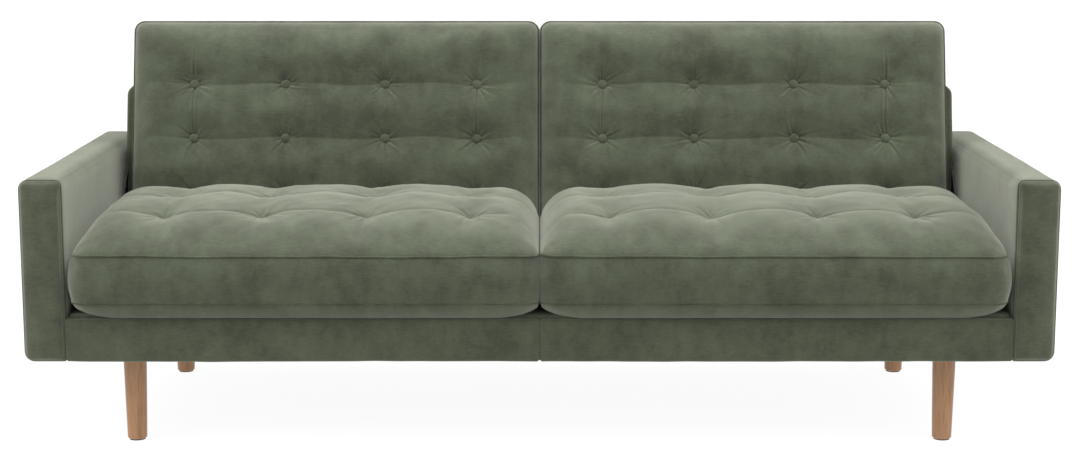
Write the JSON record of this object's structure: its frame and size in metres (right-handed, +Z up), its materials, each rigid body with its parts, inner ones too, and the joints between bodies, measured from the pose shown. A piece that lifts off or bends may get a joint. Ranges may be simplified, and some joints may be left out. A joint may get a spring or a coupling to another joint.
{
  "type": "futon sofa bed",
  "caption": "Velvet click-clack sofa bed with slim box arms, turned oak legs, tufted seat and a split tufted back whose halves recline separately to flat.",
  "frame": {"origin": "on the floor, under the middle of the overall box", "axes": "+X to the right as seen from the front, +Y from the front to the back, +Z up"},
  "size_m": [2.14, 0.88, 0.8506],
  "materials": {
    "velvet": "sage green pile velvet",
    "leg_oak": "oiled oak",
    "timber": "sawn softwood",
    "plywood": "birch plywood",
    "dust_cloth": "black spunbond cloth",
    "glide_felt": "pressed felt",
    "dark_steel": "black phosphated"
  },
  "bodies": {
    "root": {"arm_bolts": "dark_steel", "corner_blocks": "timber", "deck_cloth": "velvet", "dust_cover": "dust_cloth", "front_left_leg": "leg_oak", "front_rail": "timber", "front_right_leg": "leg_oak", "hinge_bolts": "dark_steel", "hinge_pins": "dark_steel", "inner_hinge_plates": "dark_steel", "left_arm_cover": "velvet", "left_arm_front_panel": "velvet", "left_arm_front_post": "timber", "left_arm_rear_post": "timber", "left_arm_top_rail": "timber", "left_centre_rail": "timber", "left_end_rail": "timber", "left_front_rail_cover": "velvet", "left_seat_cushion": "velvet", "leg_bolts": "dark_steel", "leg_glides": "glide_felt", "leg_plates": "dark_steel", "mid_rails": "timber", "outer_hinge_plates": "dark_steel", "rear_deck_panels": "plywood", "rear_left_leg": "leg_oak", "rear_rail": "timber", "rear_rail_cover": "velvet", "rear_right_leg": "leg_oak", "right_arm_cover": "velvet", "right_arm_front_panel": "velvet", "right_arm_front_post": "timber", "right_arm_rear_post": "timber", "right_arm_top_rail": "timber", "right_centre_rail": "timber", "right_end_rail": "timber", "right_front_rail_cover": "velvet", "right_seat_cushion": "velvet", "seat_slats": "timber"},
    "left_back": {"left_back_board": "plywood", "left_back_bottom_rail": "timber", "left_back_buttons": "velvet", "left_back_cover": "velvet", "left_back_cushion": "velvet", "left_back_inner_stile": "timber", "left_back_outer_stile": "timber", "left_back_top_rail": "timber", "left_hinge_arms": "dark_steel", "left_hinge_pawls": "dark_steel", "left_hinge_screws": "dark_steel"},
    "right_back": {"right_back_board": "plywood", "right_back_bottom_rail": "timber", "right_back_buttons": "velvet", "right_back_cover": "velvet", "right_back_cushion": "velvet", "right_back_inner_stile": "timber", "right_back_outer_stile": "timber", "right_back_top_rail": "timber", "right_hinge_arms": "dark_steel", "right_hinge_pawls": "dark_steel", "right_hinge_screws": "dark_steel"}
  },
  "joints": [
    {"name": "left_back_recline", "type": "hinge", "parent": "root", "child": "left_back", "pos_m": [0, 0.186, 0.408], "axis": [-1, 0, 0], "range_deg": [-8, 75]},
    {"name": "right_back_recline", "type": "hinge", "parent": "root", "child": "right_back", "pos_m": [0, 0.186, 0.408], "axis": [-1, 0, 0], "range_deg": [-8, 75]}
  ]
}
